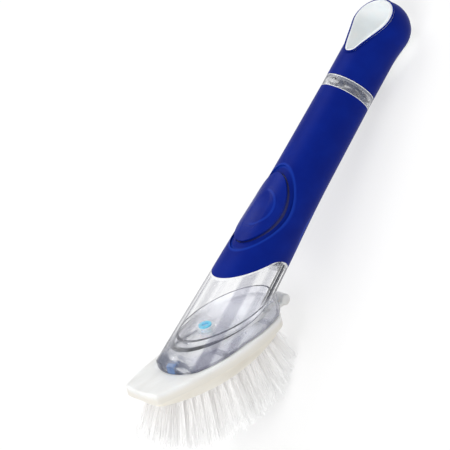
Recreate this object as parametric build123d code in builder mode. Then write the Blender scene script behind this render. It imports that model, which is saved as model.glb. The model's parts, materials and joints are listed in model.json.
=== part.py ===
import os
from math import asin, atan2, cos, degrees, hypot, pi, radians, sin, sqrt, tan
from build123d import *

os.makedirs("parts", exist_ok=True)

# Handle outline: radii at stations along its axis, counted from the grip's top edge
grip_top_radius = 15.2
waist_station = 62.0
waist_radius = 16.1
waist_blend = 800.0
hip_station = 100.0
hip_radius = 18.2
hip_blend = 1200.0
foot_station = 215.0
foot_radius = 22.9
band_length = 7.4

# Soft grip over its rigid core
skin_thickness = 1.9
core_thickness = 1.3
sleeve_fit = 0.1
grip_rear_edge = 102.6
grip_front_edge = 129.0
edge_knee_height = 0.0
edge_front_height = 18.9
edge_blend = 14.0

# Clear reservoir tube
tube_wall = 1.6
foot_wall = 1.5
foot_shoulder = 2.8
neck_radius = 11.6
neck_length = 12.0
neck_bore_radius = 9.6
foot_seat_gap = 0.3
skirt_inset = 0.15
toe_station = 11.0
toe_radius = 21.2

# Screw thread between the neck and the cap
thread_lead = 4.0
thread_height = 1.0
thread_root_width = 1.6
thread_crest_width = 0.8
thread_turns = 1.25
thread_start = 2.2
thread_embed = 0.3

# Cap
cap_gap = 0.3
cap_bulb_station = 47.0
cap_bulb_radius = 16.8
cap_neck_blend = 60.0
cap_skin = 1.1
socket_radius = 13.0
socket_roof = 2.2
cap_seal_inner_radius = 9.8
cap_seal_outer_radius = 12.6
cap_seal_thickness = 1.5
cap_seal_gap = 0.15

# Teardrop hanging hole
hole_low_station = 24.0
hole_low_radius = 3.6
hole_high_station = 60.3
hole_high_radius = 12.0
hole_lining = 1.5
lining_proud = 0.35

# Thumb button, its pusher and the membrane under it
button_station = 82.3
recess_length = 57.0
recess_width = 30.4
recess_depth = 1.1
button_length = 46.0
button_width = 25.6
button_clearance = 0.45
button_proud = 0.7
button_shell = 1.0
button_core_depth = 2.2
thumb_dish_length = 28.6
thumb_dish_width = 11.4
thumb_dish_depth = 1.25
plunger_length = 30.0
plunger_width = 11.0
plunger_clearance = 1.2
window_length = 36.0
window_width = 17.0
membrane_lap = 3.0
membrane_thickness = 0.8
membrane_fit = 0.1

# Brush head: its deck plane crosses the handle's axis at this station and angle
deck_station = 163.9
head_tilt = 33.5
deck_half_length = 52.0
deck_half_width = 22.3
deck_end_half_width = 13.2
deck_thickness = 6.2
deck_edge_round = 1.2
bow_bulge = 1.6
bow_corner_radius = 2.5
bow_lip = 3.0
bow_rake = 14.0
stern_station = 49.0
stern_corner_radius = 15.5
block_inset = 4.2
block_depth = 14.5
block_low_station = -4.0
keel_radius = 228.0

# Rails of the head, and the ledges inside the foot that hold them
nose_start = 14.0
rail_start = 6.0
rail_end = 36.0
rail_web_inner = 5.0
rail_web = 2.0
rail_hook = 3.4
rail_height = 5.2
rail_gap = 2.2
ledge_thickness = 1.4
ledge_length = 3.5
ledge_lift = 0.5
ledge_clearance = 0.5
front_ledge_start = 5.0
rear_ledge_start = 31.5

# Latch tongue at the rear of the head
tongue_root = 29.0
tongue_half_width = 4.2
tongue_thickness = 2.4
tongue_sink = 0.1
tongue_side_gap = 0.4
tongue_drop = 2.1
knob_overhang = 9.0
knob_radius = 3.4
knob_half_width = 4.6
knob_round = 1.2
catch_front = 41.0
catch_crest = 2.0
catch_rear = 50.0
catch_half_width = 3.4
catch_height = 1.6
catch_clearance = 0.5
gate_thickness = 2.2

# Floor plate of the reservoir, its seal and the valve, as heights over the deck
ring_low = 7.8
seal_low = 8.8
floor_low = 9.8
floor_high = 12.5
floor_fit = 0.12
ring_width = 1.5
seal_width = 1.2
valve_station = 1.65
valve_flange_radius = 3.7
valve_flange_thickness = 0.8
valve_stem_radius = 2.6
valve_lip_radius = 3.1
valve_lip_thickness = 0.7
valve_wall = 0.7
valve_slit_width = 0.2
valve_slit_length = 3.0
valve_fit = 0.05
port_radius = 2.3
port_boss_radius = 4.0
port_boss_height = 6.2
outlet_seal_height = 2.3
outlet_seal_bore = 2.6

# Nylon tufts, in rows that follow the outline of the block
tufts_per_row = 17
strands_per_tuft = 5
row_shares = (-1.0, -0.5, 0.0, 0.5, 1.0)
strip_lap_share = 0.25
row_half_width = 14.2
tuft_pitch = 5.2
tuft_margin = 1.8
tuft_rim = 1.5
pocket_rim = 0.8
root_radius = 1.0
tip_radius = 1.8
strand_side = 0.8
strand_embed = 1.2
backing_thickness = 2.0
bristle_length = 31.8
fan_station = 6.0
front_fan = 30.0
rear_fan = 28.0
front_fan_power = 1.3
rear_fan_power = 1.8
front_short_share = 0.2
front_short_power = 6.0
rear_short_share = 0.48
rear_short_power = 2.0
side_splay = 9.0
ragged_share = 0.02
ragged_turn = 137.5
counter_cut = 0.5

overrun = 25.0

# The head's frame counts h along the deck to the rear and k upwards, square to it
tilt = radians(head_tilt)
knob_station = stern_station + knob_overhang
plan_sagitta = deck_half_width - deck_end_half_width
plan_radius = (deck_half_length**2 + plan_sagitta**2) / (2 * plan_sagitta)
tuft_reach = tuft_pitch * (tufts_per_row - 1) / 2
first_tuft = valve_station - tuft_reach
last_tuft = valve_station + tuft_reach


def side_bow(h):
    """How far the long sides of the head draw in at station h."""
    return plan_radius - sqrt(plan_radius**2 - h**2)


def plan_half_width(h, inset):
    """Half width at station h of the head's outline drawn in by inset."""
    return sqrt((plan_radius - inset) ** 2 - h**2) - plan_radius + deck_half_width


def off_the_block(h, y):
    """True where the rounded stern of the block leaves no room for a tuft."""
    run = h - stern_station + stern_corner_radius
    side_run = abs(y) - plan_half_width(stern_station - stern_corner_radius, stern_corner_radius)
    reach = stern_corner_radius - block_inset - tuft_rim
    return run > 0 and hypot(run, max(side_run, 0)) > reach


def keel_depth(h):
    """Depth of the underside of the block at station h."""
    return block_depth - keel_radius + sqrt(keel_radius**2 - (h - block_low_station) ** 2)


def row_width(h):
    """Distance of the outer rows from the middle at station h."""
    return row_half_width - side_bow(h)


def tuft_lie(h):
    """Lean in radians, towards the tip, and length of the tuft rooted at station h."""
    if h < fan_station:
        share = (fan_station - h) / (fan_station - first_tuft)
        shortening = front_short_share * share**front_short_power
        return radians(front_fan) * share**front_fan_power, 1 - shortening
    share = (h - fan_station) / (last_tuft - fan_station)
    shortening = rear_short_share * share**rear_short_power
    return -radians(rear_fan) * share**rear_fan_power, 1 - shortening


def row_strands(row_share):
    """Root and tip of each strand of one row, in the head's frame."""
    strands = []
    for tuft in range(tufts_per_row):
        h = first_tuft + tuft_pitch * tuft
        if abs(h - valve_station) < port_radius and abs(row_share * row_width(h)) < port_radius:
            continue
        if off_the_block(h, row_share * row_width(h)):
            continue
        lean_forward, length_share = tuft_lie(h)
        splay = radians(side_splay) * row_share
        centre = Vector(h, row_share * row_width(h), -keel_depth(h))
        way = Vector(-sin(lean_forward) * cos(splay), sin(splay), -cos(lean_forward) * cos(splay))
        for strand in range(strands_per_tuft):
            count = strand + strands_per_tuft * tuft
            turn = 2 * pi * strand / strands_per_tuft + tuft
            away = Vector(cos(turn), sin(turn), 0)
            ragged = 1 + ragged_share * sin(radians(ragged_turn) * count + row_share)
            tip = centre + way * (bristle_length * length_share * ragged) + away * tip_radius
            strands.append((centre + away * root_radius, tip))
    return strands


def deck_to_handle(h, k):
    """Station and height in the handle's frame of a place in the head's frame."""
    return h * cos(tilt) + k * sin(tilt) - deck_station, k * cos(tilt) - h * sin(tilt)


def counter_angle(station, height):
    """Slope of the line through a place that touches the cap's bulb from below."""
    run = cap_bulb_station - station
    return atan2(-height, run) - asin(cap_bulb_radius / hypot(run, height))


# The wand lies on a counter on its rear bristle tips and on the bulb of its cap
all_tips = [deck_to_handle(tip.X, tip.Z) for share in row_shares for _, tip in row_strands(share)]
low_tip = max(all_tips, key=lambda tip: counter_angle(*tip))
full_lean = counter_angle(*low_tip)
cut_tip = (low_tip[0] - counter_cut * sin(full_lean), low_tip[1] + counter_cut * cos(full_lean))
lean = counter_angle(*cut_tip)
bow_point = deck_to_handle(-deck_half_length - bow_bulge, 0)
left_end = min(x * cos(lean) + z * sin(lean) for x, z in all_tips + [bow_point])
right_end = cap_bulb_station * cos(lean) + cap_bulb_radius
counter_height = cut_tip[1] * cos(lean) - cut_tip[0] * sin(lean)

# Planes: side of the handle, and deck and side of the head
side = Plane(
    origin=(-(left_end + right_end) / 2, 0, -counter_height),
    x_dir=(cos(lean), 0, -sin(lean)),
    z_dir=(0, -1, 0),
)
handle_axis = Axis(side.origin, side.x_dir)
deck = Plane(
    origin=side.from_local_coords((-deck_station, 0, 0)),
    x_dir=(cos(lean + tilt), 0, -sin(lean + tilt)),
    z_dir=(sin(lean + tilt), 0, cos(lean + tilt)),
)
head_side = Plane(origin=deck.origin, x_dir=deck.x_dir, z_dir=(0, -1, 0))
button_plane = Plane(
    origin=side.from_local_coords((-button_station, 0, 0)), x_dir=side.x_dir, z_dir=side.y_dir
)
cap_plane = Plane(origin=side.origin, x_dir=side.x_dir, z_dir=side.y_dir)
counter = Plane.XY


def across(station):
    """Plane square to the handle's axis."""
    return Plane(
        origin=side.from_local_coords((station, 0, 0)), x_dir=(0, 1, 0), z_dir=side.x_dir
    )


def save(piece, name):
    """Name a finished piece and write it."""
    piece.part.label = name
    export_step(piece.part, f"parts/{name}.step")


def turned(inset):
    """The handle's outline below the grip's top edge, drawn in by inset and turned."""
    with BuildPart() as form:
        with BuildSketch(side):
            with BuildLine():
                outline = FilletPolyline(
                    (-foot_station, foot_radius - inset),
                    (-hip_station, hip_radius - inset),
                    (-waist_station, waist_radius - inset),
                    (0, grip_top_radius - inset),
                    radius=(hip_blend, waist_blend),
                )
                Polyline(outline @ 1, (0, 0), (-foot_station, 0), outline @ 0)
            make_face()
        revolve(axis=handle_axis)
    return form.part


def above_edge(shift):
    """Everything on the cap's side of the grip's lower edge, moved to the head by shift."""
    rise = edge_front_height - edge_knee_height
    fall = (grip_front_edge - grip_rear_edge) * (rise + overrun) / rise
    with BuildPart() as form:
        with BuildSketch(side):
            with BuildLine():
                edge = FilletPolyline(
                    (-grip_rear_edge - shift, -overrun),
                    (-grip_rear_edge - shift, edge_knee_height),
                    (-grip_rear_edge - fall - shift, edge_front_height + overrun),
                    radius=edge_blend,
                )
                Polyline(edge @ 1, (overrun, edge_front_height + overrun), (overrun, -overrun), edge @ 0)
            make_face()
        extrude(amount=overrun, both=True)
    return form.part


def oval_post(length, width):
    """An oval post over the button's place, from the handle's axis outwards."""
    with BuildPart() as form:
        with BuildSketch(button_plane):
            Ellipse(length / 2, width / 2)
        extrude(amount=overrun)
    return form.part


def foot_oval(k, inset):
    """Rear end, front end and half width of the foot's slice at height k over the deck."""
    slope = (foot_radius - hip_radius) / (foot_station - hip_station)
    start = hip_radius - inset - slope * hip_station
    ends = []
    radii = []
    for way in (1, -1):
        rise = k - deck_station * sin(tilt) + way * start * cos(tilt)
        x = rise / (sin(tilt) + way * slope * cos(tilt))
        radii.append(start - slope * x)
        ends.append((x + deck_station) * cos(tilt) + way * radii[-1] * sin(tilt))
    return ends[0], ends[1], sqrt(radii[0] * radii[1])


def foot_skirt(inset, low, high):
    """Upright oval block under the foot, which carries its rear down to the deck."""
    rear, front, half_width = foot_oval(floor_high, 0)
    with BuildPart() as form:
        with BuildSketch(deck.offset(low)):
            with Locations(((rear + front) / 2, 0)):
                Ellipse((rear - front) / 2 - inset, half_width - inset)
        extrude(amount=high - low)
    return form.part


def toe_cut(inset):
    """What an upright round toe takes off the foot's low front end."""
    with BuildPart() as form:
        with BuildSketch(deck.offset(-overrun)):
            with Locations((-toe_station - overrun, 0)):
                Rectangle(2 * overrun, 4 * overrun)
            with Locations((-toe_station, 0)):
                Circle(toe_radius - inset, mode=Mode.SUBTRACT)
        extrude(amount=overrun + ring_low)
    return form.part


def deck_slab(low, high):
    """Everything between two heights over the deck."""
    with BuildPart() as form:
        with BuildSketch(deck.offset(low)):
            Rectangle(2 * (deck_half_length + overrun), 2 * (deck_half_width + overrun))
        extrude(amount=high - low)
    return form.part


def head_plan(inset, low, depth):
    """The head's outline seen from above, drawn in by inset, as a block that hangs from low."""
    bow = inset - deck_half_length
    stern = stern_station - inset
    bow_half = plan_half_width(bow, inset)
    stern_half = plan_half_width(stern, inset)
    middle_half = deck_half_width - inset
    with BuildPart() as form:
        with BuildSketch(deck.offset(-low)) as plan:
            with BuildLine():
                near = ThreePointArc((bow, -bow_half), (0, -middle_half), (stern, -stern_half))
                Line(near @ 1, (stern, stern_half))
                far = ThreePointArc((stern, stern_half), (0, middle_half), (bow, bow_half))
                ThreePointArc(far @ 1, (bow - bow_bulge, 0), near @ 0)
            make_face()
            fillet(plan.vertices().group_by(Axis.X)[0], bow_corner_radius)
            fillet(plan.vertices().group_by(Axis.X)[-1], stern_corner_radius - inset)
        extrude(amount=-depth)
    return form.part


def bow_wedge():
    """What the raked bow takes off the head."""
    run = overrun * tan(radians(bow_rake))
    tip = -deck_half_length - bow_bulge
    with BuildPart() as form:
        with BuildSketch(head_side):
            with BuildLine():
                Polyline(
                    (tip, -bow_lip),
                    (tip + run, -bow_lip - overrun),
                    (tip - overrun, -bow_lip - overrun),
                    (tip - overrun, -bow_lip),
                    close=True,
                )
            make_face()
        extrude(amount=2 * overrun, both=True)
    return form.part


def keel_disc(radius):
    """A great disc whose rim is the curved underside of the block."""
    with BuildPart() as form:
        with BuildSketch(head_side):
            with Locations((block_low_station, keel_radius - block_depth)):
                Circle(radius)
        extrude(amount=2 * overrun, both=True)
    return form.part


def strip(low_share, high_share):
    """A strip of backing between two curves that follow the rows."""
    front = first_tuft - tuft_margin
    rear = last_tuft + tuft_margin
    middle = (front + rear) / 2
    with BuildPart() as form:
        with BuildSketch(deck):
            with BuildLine():
                near = ThreePointArc(*[(h, low_share * row_width(h)) for h in (front, middle, rear)])
                far = ThreePointArc(*[(h, high_share * row_width(h)) for h in (front, middle, rear)])
                Line(near @ 0, far @ 0)
                Line(near @ 1, far @ 1)
            make_face()
        extrude(amount=-overrun)
    return form.part


def cap_form(outset):
    """The cap's outline, let out by outset and turned."""
    neck = grip_top_radius + outset
    bulb = cap_bulb_radius + outset
    blend = cap_neck_blend - outset
    run = sqrt((bulb - neck) * (2 * blend + bulb + neck))
    touch = bulb / (blend + bulb)
    with BuildPart() as form:
        with BuildSketch(side):
            with BuildLine():
                foot = Polyline(
                    (cap_bulb_station + bulb, 0),
                    (band_length + cap_gap, 0),
                    (band_length + cap_gap, neck),
                    (cap_bulb_station - run, neck),
                )
                waist = TangentArc(
                    foot @ 1,
                    (cap_bulb_station - run * touch, (neck + blend) * touch),
                    tangent=(1, 0),
                )
                TangentArc(waist @ 1, foot @ 0, tangent=waist % 1)
            make_face()
        revolve(axis=handle_axis)
    return form.part


def teardrop(outset):
    """The hanging hole, let out by outset, as a post right through the cap."""
    with BuildPart() as form:
        with BuildSketch(cap_plane):
            with Locations((hole_low_station + hole_low_radius, 0)):
                Circle(hole_low_radius + outset)
            with Locations((hole_high_station - hole_high_radius, 0)):
                Circle(hole_high_radius + outset)
            make_hull()
        extrude(amount=overrun, both=True)
    return form.part


def ridge(radius, start, way):
    """One helical thread ridge on a wall of this radius, outwards or inwards."""
    with BuildPart() as form:
        with BuildLine() as path:
            Helix(
                pitch=thread_lead,
                height=thread_lead * thread_turns,
                radius=radius,
                center=side.from_local_coords((start, 0, 0)),
                direction=side.x_dir,
            )
        begin = path.line @ 0
        spoke = begin - side.from_local_coords((start, 0, 0))
        with BuildSketch(Plane(origin=begin, x_dir=spoke * way, z_dir=path.line % 0)):
            with BuildLine():
                Polyline(
                    (-thread_embed, -thread_root_width / 2),
                    (thread_height, -thread_crest_width / 2),
                    (thread_height, thread_crest_width / 2),
                    (-thread_embed, thread_root_width / 2),
                    close=True,
                )
            make_face()
        sweep(is_frenet=True)
    return form.part


outer_form = turned(0)
skin_form = turned(skin_thickness)
tube_outset = skin_thickness + core_thickness + sleeve_fit
tube_form = turned(tube_outset)
foot_hollow = turned(foot_wall)

# Soft blue grip, with the oval recess and the opening for the button
button_opening = oval_post(button_length + 2 * button_clearance, button_width + 2 * button_clearance)
recess = oval_post(recess_length, recess_width) - turned(recess_depth)
grip_edge = above_edge(0)
with BuildPart() as grip_sleeve:
    add(outer_form)
    add(skin_form, mode=Mode.SUBTRACT)
    add(grip_edge, mode=Mode.INTERSECT)
    add(recess, mode=Mode.SUBTRACT)
    add(button_opening, mode=Mode.SUBTRACT)
save(grip_sleeve, "grip_sleeve")

# Rigid core under the grip, with the window for the button's pusher
core_bore = turned(skin_thickness + core_thickness)
core_window = oval_post(plunger_length + 2 * plunger_clearance, plunger_width + 2 * plunger_clearance)
with BuildPart() as grip_core:
    add(skin_form)
    add(core_bore, mode=Mode.SUBTRACT)
    add(grip_edge, mode=Mode.INTERSECT)
    add(core_window, mode=Mode.SUBTRACT)
save(grip_core, "grip_core")

# Thumb button: a shell over the core, thicker in the middle, with a thumb dish
button_outer = turned(-button_proud)
button_shell_form = oval_post(button_length, button_width) - turned(button_shell - button_proud)
plunger_post = oval_post(plunger_length, plunger_width)
button_middle = plunger_post - turned(button_core_depth - button_proud)
crown = waist_radius + (hip_radius - waist_radius) * (button_station - waist_station) / (
    hip_station - waist_station
)
dish_bow = thumb_dish_length**2 / (8 * thumb_dish_depth)
dish_sag = thumb_dish_depth - thumb_dish_width**2 / (8 * (crown + button_proud))
dish_floor = crown + button_proud - thumb_dish_depth
with BuildPart() as thumb_dish:
    with BuildSketch(across(-button_station)):
        with BuildLine():
            sole = ThreePointArc(
                (-thumb_dish_width, dish_floor + 4 * dish_sag),
                (0, dish_floor),
                (thumb_dish_width, dish_floor + 4 * dish_sag),
            )
            Polyline(
                sole @ 1,
                (thumb_dish_width, dish_floor + overrun),
                (-thumb_dish_width, dish_floor + overrun),
                sole @ 0,
            )
        make_face()
    revolve(
        axis=Axis(side.from_local_coords((-button_station, dish_floor + dish_bow, 0)), (0, 1, 0))
    )
with BuildPart() as thumb_button:
    add(button_shell_form)
    add(button_middle)
    add(button_outer, mode=Mode.INTERSECT)
    add(thumb_dish.part, mode=Mode.SUBTRACT)
save(thumb_button, "thumb_button")

# Pusher between the button and the membrane
plunger_top = turned(button_core_depth - button_proud)
plunger_foot = turned(skin_thickness + core_thickness)
with BuildPart() as button_plunger:
    add(plunger_post)
    add(plunger_top, mode=Mode.INTERSECT)
    add(plunger_foot, mode=Mode.SUBTRACT)
save(button_plunger, "button_plunger")

# Silicone membrane, let into the outside of the tube round its window
membrane_floor = turned(tube_outset + membrane_thickness)
with BuildPart() as pump_diaphragm:
    add(oval_post(window_length + 2 * membrane_lap, window_width + 2 * membrane_lap))
    add(tube_form, mode=Mode.INTERSECT)
    add(membrane_floor, mode=Mode.SUBTRACT)
save(pump_diaphragm, "pump_diaphragm")

# Clear reservoir tube: neck, band, body and the slanted foot with its skirt
neck_top = band_length + neck_length
foot_block = foot_skirt(skirt_inset, foot_seat_gap, floor_high)
sleeve_space = above_edge(sleeve_fit) - tube_form
below_deck = deck_slab(foot_seat_gap - 4 * overrun, foot_seat_gap)
tube_bore = turned(tube_outset + tube_wall)
toe_outside = toe_cut(0)
toe_wall = toe_cut(foot_wall)
foot_room = foot_hollow - above_edge(foot_shoulder) - toe_wall
skirt_room = foot_skirt(foot_wall + skirt_inset, -overrun, ring_low) - toe_wall
ring = turned(foot_wall / 2) & deck_slab(ring_low, seal_low)
ring_bore = turned(foot_wall + ring_width)
membrane_seat = oval_post(
    window_length + 2 * (membrane_lap + membrane_fit), window_width + 2 * (membrane_lap + membrane_fit)
) - turned(tube_outset + membrane_thickness + membrane_fit)
membrane_window = oval_post(window_length, window_width)
gate_front = catch_front - gate_thickness - ledge_clearance
slot_half_width = knob_half_width + tongue_side_gap
slot_height = knob_radius - tongue_sink + catch_clearance
ledge_inner = rail_web_inner + rail_web + ledge_clearance
neck_ridge = ridge(neck_radius, band_length + thread_start, 1)
with BuildPart() as foot_fittings:
    with BuildSketch(deck.offset(ledge_lift)):
        for start in (-front_ledge_start, rear_ledge_start):
            for way in (1, -1):
                with Locations((start + ledge_length / 2, way * (ledge_inner + overrun / 2))):
                    Rectangle(ledge_length, overrun)
    extrude(amount=ledge_thickness)
    with BuildSketch(deck.offset(catch_height + catch_clearance)):
        with Locations((gate_front + gate_thickness / 2, 0)):
            Rectangle(gate_thickness, 2 * slot_half_width)
    extrude(amount=slot_height - catch_height)
    with BuildSketch(deck.offset(slot_height)):
        with Locations((gate_front + overrun / 2, 0)):
            Rectangle(overrun, 2 * slot_half_width)
    extrude(amount=gate_thickness)
    add(foot_block + outer_form, mode=Mode.INTERSECT)
with BuildPart() as reservoir_tube:
    add(outer_form)
    add(sleeve_space, mode=Mode.SUBTRACT)
    add(below_deck, mode=Mode.SUBTRACT)
    add(foot_block)
    add(toe_outside, mode=Mode.SUBTRACT)
    with BuildSketch(across(sleeve_fit)):
        Circle(grip_top_radius)
    extrude(amount=band_length - sleeve_fit)
    with BuildSketch(across(0)):
        Circle(neck_radius)
    extrude(amount=neck_top)
    add(neck_ridge)
    with BuildSketch(across(-sleeve_fit)):
        Circle(neck_bore_radius)
    extrude(amount=neck_top + overrun, mode=Mode.SUBTRACT)
    add(tube_bore, mode=Mode.SUBTRACT)
    add(foot_room, mode=Mode.SUBTRACT)
    add(skirt_room, mode=Mode.SUBTRACT)
    add(ring - ring_bore)
    add(foot_fittings.part)
    with BuildSketch(deck):
        with Locations((catch_front + overrun / 2, 0)):
            Rectangle(overrun, 2 * slot_half_width)
    extrude(amount=slot_height, mode=Mode.SUBTRACT)
    add(membrane_seat, mode=Mode.SUBTRACT)
    add(membrane_window, mode=Mode.SUBTRACT)
save(reservoir_tube, "reservoir_tube")

# Floor plate across the foot, parallel to the deck, with the hole for the valve
floor_form = turned(foot_wall + floor_fit)
floor_slab = deck_slab(floor_low, floor_high)
with BuildPart() as reservoir_floor:
    add(floor_form)
    add(floor_slab, mode=Mode.INTERSECT)
    with BuildSketch(deck):
        with Locations((valve_station, 0)):
            Circle(valve_stem_radius + valve_fit)
    extrude(amount=overrun, mode=Mode.SUBTRACT)
save(reservoir_floor, "reservoir_floor")

# Dark seal between the floor plate and the ledge ring of the foot
seal_slab = deck_slab(seal_low, floor_low)
seal_bore = turned(foot_wall + floor_fit + seal_width)
with BuildPart() as floor_seal:
    add(floor_form)
    add(seal_slab, mode=Mode.INTERSECT)
    add(seal_bore, mode=Mode.SUBTRACT)
save(floor_seal, "floor_seal")

# Slit valve of cyan silicone, pressed through the floor plate
valve_sole = floor_low - valve_lip_thickness
with BuildPart() as dispensing_valve:
    with BuildSketch(deck.offset(floor_high)):
        with Locations((valve_station, 0)):
            Circle(valve_flange_radius)
    extrude(amount=valve_flange_thickness)
    with BuildSketch(deck.offset(valve_sole)):
        with Locations((valve_station, 0)):
            Circle(valve_stem_radius)
    extrude(amount=floor_high - valve_sole)
    with BuildSketch(deck.offset(valve_sole)):
        with Locations((valve_station, 0)):
            Circle(valve_lip_radius)
    extrude(amount=valve_lip_thickness)
    with BuildSketch(deck.offset(valve_sole + valve_wall)):
        with Locations((valve_station, 0)):
            Circle(valve_stem_radius - valve_wall)
    extrude(amount=overrun, mode=Mode.SUBTRACT)
    with BuildSketch(deck.offset(valve_sole)):
        with Locations((valve_station, 0)):
            Rectangle(valve_slit_length, valve_slit_width)
            Rectangle(valve_slit_width, valve_slit_length)
    extrude(amount=valve_wall, mode=Mode.SUBTRACT)
save(dispensing_valve, "dispensing_valve")

# Soft ring on the head's soap port, just under the valve
with BuildPart() as outlet_seal:
    with BuildSketch(deck.offset(port_boss_height)):
        with Locations((valve_station, 0)):
            Circle(port_boss_radius)
            Circle(outlet_seal_bore, mode=Mode.SUBTRACT)
    extrude(amount=outlet_seal_height)
save(outlet_seal, "outlet_seal")

# Upper shell of the head: deck, scraper bow, rails, nose and soap port
bow_cut = bow_wedge()
hook_outer = rail_web_inner + rail_web + rail_hook
notch_start = ledge_length - front_ledge_start + 2 * ledge_clearance
notch_end = notch_start + ledge_length + 2 * ledge_clearance
with BuildPart() as rails:
    with BuildSketch(deck):
        for way in (1, -1):
            with Locations(((rail_end - rail_start) / 2, way * (rail_web_inner + rail_web / 2))):
                Rectangle(rail_end + rail_start, rail_web)
    extrude(amount=rail_height)
    with BuildSketch(deck.offset(rail_gap)):
        for way in (1, -1):
            hook_middle = way * (hook_outer - rail_hook / 2 - rail_web / 4)
            for low, high in ((-rail_start, notch_start), (notch_end, rail_end)):
                with Locations(((low + high) / 2, hook_middle)):
                    Rectangle(high - low, rail_hook + rail_web / 2)
    extrude(amount=rail_height - rail_gap)
    with BuildSketch(head_side):
        with BuildLine():
            Polyline(
                (-nose_start, 0),
                (-rail_start, rail_height),
                (rail_web_inner - rail_start - rail_web, rail_height),
                (rail_web_inner - rail_start - rail_web, 0),
                close=True,
            )
        make_face()
    extrude(amount=rail_web_inner + rail_web, both=True)
with BuildPart() as head_deck:
    add(head_plan(0, 0, deck_thickness))
    fillet(head_deck.faces().sort_by(Axis(deck.origin, deck.z_dir))[-1].edges(), deck_edge_round)
    add(bow_cut, mode=Mode.SUBTRACT)
    with BuildSketch(deck):
        with Locations((tongue_root - tongue_side_gap + overrun, 0)):
            Rectangle(2 * overrun, 2 * (tongue_half_width + tongue_side_gap))
    extrude(amount=-tongue_thickness - tongue_sink - tongue_drop, mode=Mode.SUBTRACT)
    add(rails.part)
    with BuildSketch(deck):
        with Locations((valve_station, 0)):
            Circle(port_boss_radius)
    extrude(amount=port_boss_height)
    with BuildSketch(deck.offset(port_boss_height)):
        with Locations((valve_station, 0)):
            Circle(port_radius)
    extrude(amount=-port_boss_height - deck_thickness, mode=Mode.SUBTRACT)
save(head_deck, "head_deck")

# Lower shell of the head, with a pocket for the backing of the tufts
outer_share = row_shares[-1] + strip_lap_share
backing_limit = head_plan(block_inset + pocket_rim, 0, 2 * overrun)
whole_strip = strip(-outer_share, outer_share) & backing_limit
pocket = whole_strip - keel_disc(keel_radius - backing_thickness)
with BuildPart() as bristle_block:
    add(head_plan(block_inset, deck_thickness, overrun))
    add(keel_disc(keel_radius), mode=Mode.INTERSECT)
    add(bow_cut, mode=Mode.SUBTRACT)
    add(pocket, mode=Mode.SUBTRACT)
    with BuildSketch(deck):
        with Locations((valve_station, 0)):
            Circle(port_radius)
    extrude(amount=-overrun, mode=Mode.SUBTRACT)
save(bristle_block, "bristle_block")

# Rows of tufts, each fused to its strip of backing and cut flat where it meets the counter
strip_edges = [-outer_share]
strip_edges += [(low + high) / 2 for low, high in zip(row_shares[:-1], row_shares[1:])]
strip_edges += [outer_share]
with BuildPart() as counter_block:
    with BuildSketch(counter):
        Rectangle(8 * overrun + 2 * deck_half_length, 8 * overrun)
    extrude(amount=-overrun)
with BuildPart() as soap_bore:
    with BuildSketch(deck):
        with Locations((valve_station, 0)):
            Circle(port_radius)
    extrude(amount=-overrun)
for row, row_share in enumerate(row_shares):
    strands = []
    for root, tip in row_strands(row_share):
        way = (tip - root).normalized()
        foot_place = deck.from_local_coords(root - way * strand_embed)
        tip_place = deck.from_local_coords(tip)
        strand_plane = Plane(origin=foot_place, x_dir=(0, 1, 0), z_dir=tip_place - foot_place)
        strand = extrude(strand_plane * Rectangle(strand_side, strand_side), (tip_place - foot_place).length)
        if tip_place.Z < strand_side:
            strand = strand - counter_block.part
        strands.append(strand)
    with BuildPart() as bristle_row:
        add(strip(strip_edges[row], strip_edges[row + 1]))
        add(backing_limit, mode=Mode.INTERSECT)
        add(keel_disc(keel_radius), mode=Mode.INTERSECT)
        add(keel_disc(keel_radius - backing_thickness), mode=Mode.SUBTRACT)
        add(soap_bore.part, mode=Mode.SUBTRACT)
        add(strands)
    save(bristle_row, f"bristle_row_{row + 1}")

# Latch tongue with its catch and knob
tongue_top = -tongue_sink
tongue_middle = tongue_top - tongue_thickness / 2
with BuildPart() as latch_tongue:
    with BuildSketch(head_side):
        with Locations((knob_station, tongue_middle + tongue_thickness / 2)):
            Circle(knob_radius)
    extrude(amount=knob_half_width, both=True)
    fillet(latch_tongue.edges().filter_by(GeomType.CIRCLE), knob_round)
    with BuildSketch(deck.offset(tongue_top)):
        with Locations(((tongue_root + knob_station) / 2, 0)):
            Rectangle(knob_station - tongue_root, 2 * tongue_half_width)
    extrude(amount=-tongue_thickness)
    with BuildSketch(head_side):
        with BuildLine():
            Polyline(
                (catch_front, tongue_middle),
                (catch_front, catch_height),
                (catch_front + catch_crest, catch_height),
                (catch_rear, tongue_middle),
                close=True,
            )
        make_face()
    extrude(amount=catch_half_width, both=True)
save(latch_tongue, "latch_tongue")

# White core of the cap: threaded socket below, lining of the hanging hole above
socket_end = neck_top + cap_seal_thickness + 2 * cap_seal_gap
core_radius = grip_top_radius - cap_skin
lining_limit = cap_form(lining_proud)
lining_post = teardrop(hole_lining)
hanging_hole = teardrop(0)
socket_ridge = ridge(socket_radius, band_length + thread_start + thread_lead / 2, -1)
with BuildPart() as cap_core:
    add(lining_post)
    add(lining_limit, mode=Mode.INTERSECT)
    with BuildSketch(across(band_length + cap_gap)):
        Circle(core_radius)
    extrude(amount=socket_end + socket_roof - band_length - cap_gap)
    with BuildSketch(across(band_length)):
        Circle(socket_radius)
    extrude(amount=socket_end - band_length, mode=Mode.SUBTRACT)
    add(socket_ridge)
    add(hanging_hole, mode=Mode.SUBTRACT)
save(cap_core, "cap_core")

# Blue soft cover of the cap
cap_outer = cap_form(0)
with BuildPart() as cap_cover:
    add(cap_outer)
    with BuildSketch(across(band_length)):
        Circle(core_radius)
    extrude(amount=socket_end + socket_roof - band_length, mode=Mode.SUBTRACT)
    add(lining_post, mode=Mode.SUBTRACT)
save(cap_cover, "cap_cover")

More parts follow.
